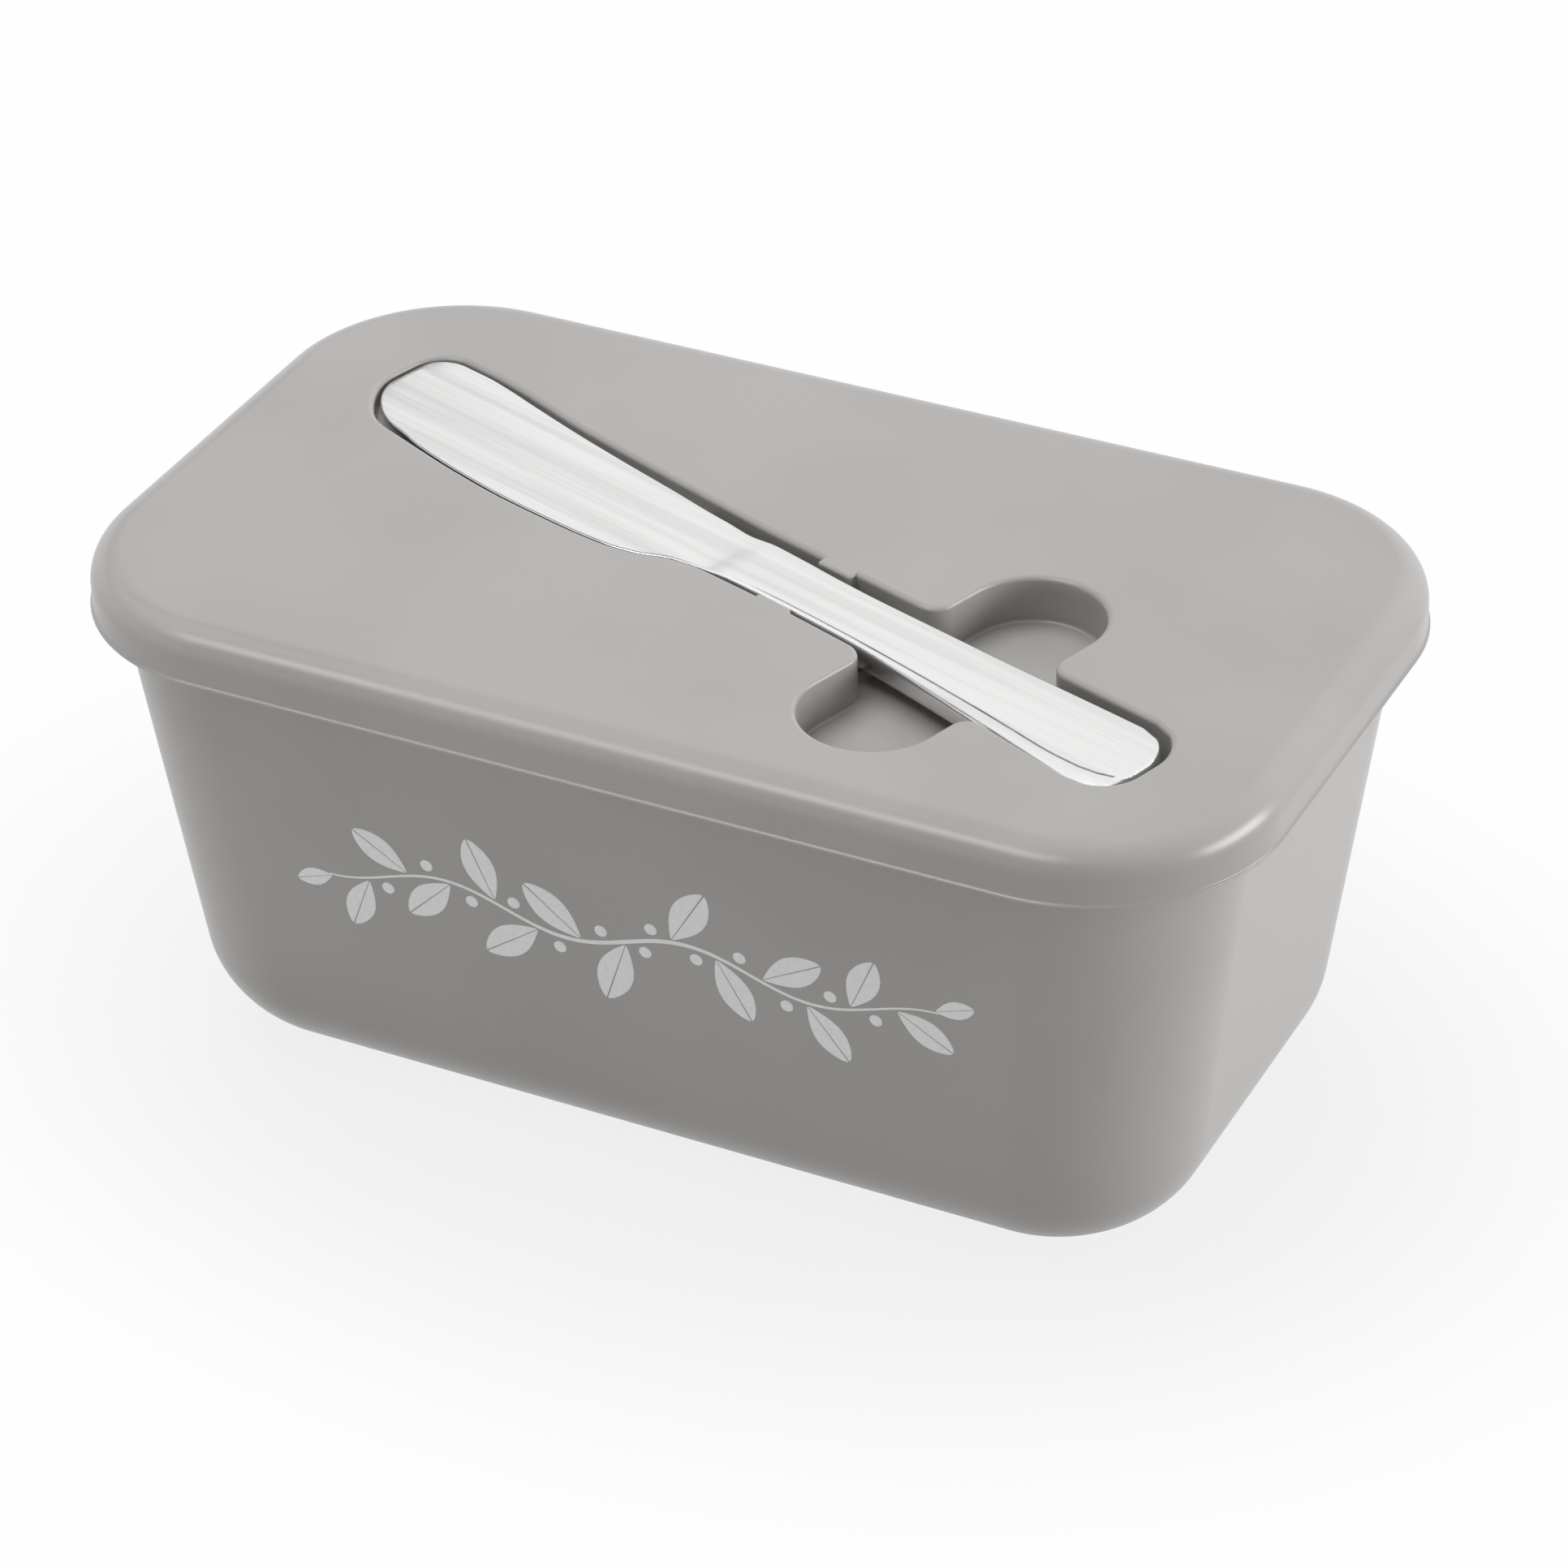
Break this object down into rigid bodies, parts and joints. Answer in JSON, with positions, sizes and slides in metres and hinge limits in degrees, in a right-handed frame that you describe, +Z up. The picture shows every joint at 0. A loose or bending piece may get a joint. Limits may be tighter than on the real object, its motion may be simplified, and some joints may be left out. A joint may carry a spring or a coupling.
{
  "type": "butter box with knife",
  "caption": "Covered butter box: a drafted tub, a sealing lid with a moulded knife bed and finger pockets, and a butter knife lying in it.",
  "frame": {"origin": "on the table under the middle of the box", "axes": "+X along the box's length, -Y towards the front, where the knife's handle end lies to the right, +Z up"},
  "size_m": [0.167, 0.097, 0.074],
  "materials": {
    "tub_plastic": "satin moulded",
    "lid_plastic": "satin moulded",
    "seal_silicone": "matt silicone",
    "knife_steel": "polished"
  },
  "bodies": {
    "box": {"butter_box": "tub_plastic"},
    "lid": {"lid": "lid_plastic", "seal_ring": "seal_silicone"},
    "knife": {"butter_knife": "knife_steel"}
  },
  "joints": [
    {"name": "lid_lift", "type": "slide", "parent": "box", "child": "lid", "axis": [0, 0, 1], "range_m": [0, 0.12]},
    {"name": "knife_lift", "type": "slide", "parent": "lid", "child": "knife", "axis": [0, 0, 1], "range_m": [0, 0.05]}
  ]
}
